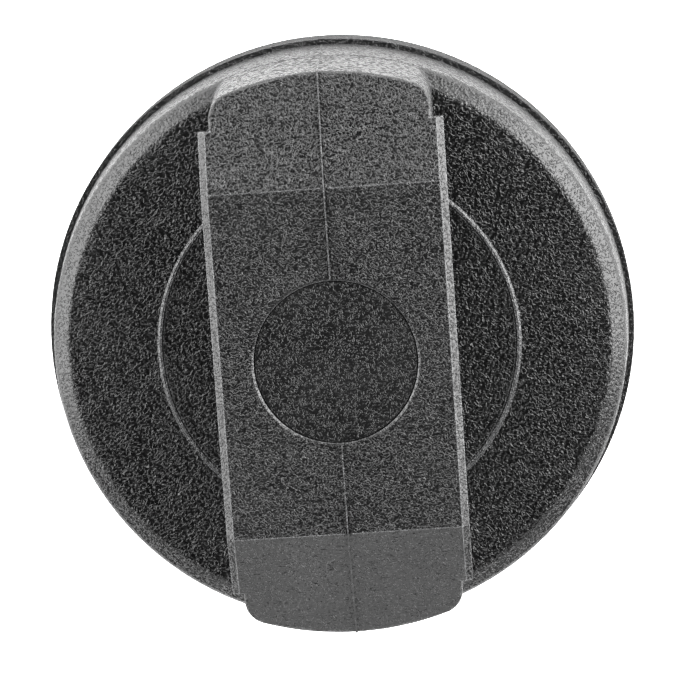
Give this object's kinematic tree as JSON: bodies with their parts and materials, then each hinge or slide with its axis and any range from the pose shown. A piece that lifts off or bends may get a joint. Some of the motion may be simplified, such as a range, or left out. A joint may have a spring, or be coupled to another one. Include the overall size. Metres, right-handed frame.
{
  "type": "fuel filler cap",
  "caption": "Round screw cap for a fuel filler neck, with a full-width grip bar, a ratcheting cover over a threaded plug, a seal ring and pressure and vacuum valves.",
  "frame": {"origin": "centre of the seal plane, where the seal ring lands on the filler neck", "axes": "+Z along the cap's axis from the neck towards the hand, +Y along the grip bar"},
  "size_m": [0.0834, 0.0834, 0.0601],
  "materials": {
    "cover_plastic": "grained black moulding",
    "disc_plastic": "fine matt black",
    "ratchet_plastic": "natural acetal",
    "ring_plastic": "smooth dark moulding",
    "plug_plastic": "smooth black moulding",
    "seal_rubber": "matt fuel-proof rubber",
    "valve_plastic": "natural acetal",
    "spring_steel": "drawn wire",
    "filter_mesh": "fine woven mesh"
  },
  "bodies": {
    "plug": {"plug_body": "plug_plastic", "plug_lid": "plug_plastic", "pawl_ring": "ratchet_plastic", "seal_ring": "seal_rubber", "valve_housing": "valve_plastic", "housing_o_ring": "seal_rubber", "spring_cap": "spring_steel", "splash_guard": "ring_plastic", "filter_disc": "filter_mesh", "pressure_spring": "spring_steel"},
    "grip": {"grip_cover": "cover_plastic", "blank_disc": "disc_plastic", "tooth_ring": "ratchet_plastic", "retaining_ring": "ring_plastic", "spring_washer": "spring_steel"},
    "pressure_valve": {"pressure_plate": "valve_plastic", "valve_seal": "seal_rubber", "vacuum_spring": "spring_steel"},
    "vacuum_valve": {"vacuum_poppet": "valve_plastic", "stem_clip": "spring_steel"}
  },
  "joints": [
    {"name": "grip_turn", "type": "hinge", "parent": "plug", "child": "grip", "pos_m": [0, 0, 0], "axis": [0, 0, 1], "continuous": true},
    {"name": "pressure_lift", "type": "slide", "parent": "plug", "child": "pressure_valve", "axis": [0, 0, 1], "range_m": [0, 0.0025], "stiffness_N_per_m": 400, "springref_m": -0.003, "deforming": ["pressure_spring"]},
    {"name": "vacuum_drop", "type": "slide", "parent": "pressure_valve", "child": "vacuum_valve", "axis": [0, 0, -1], "range_m": [0, 0.0015], "stiffness_N_per_m": 150, "springref_m": -0.002, "deforming": ["vacuum_spring"]}
  ]
}
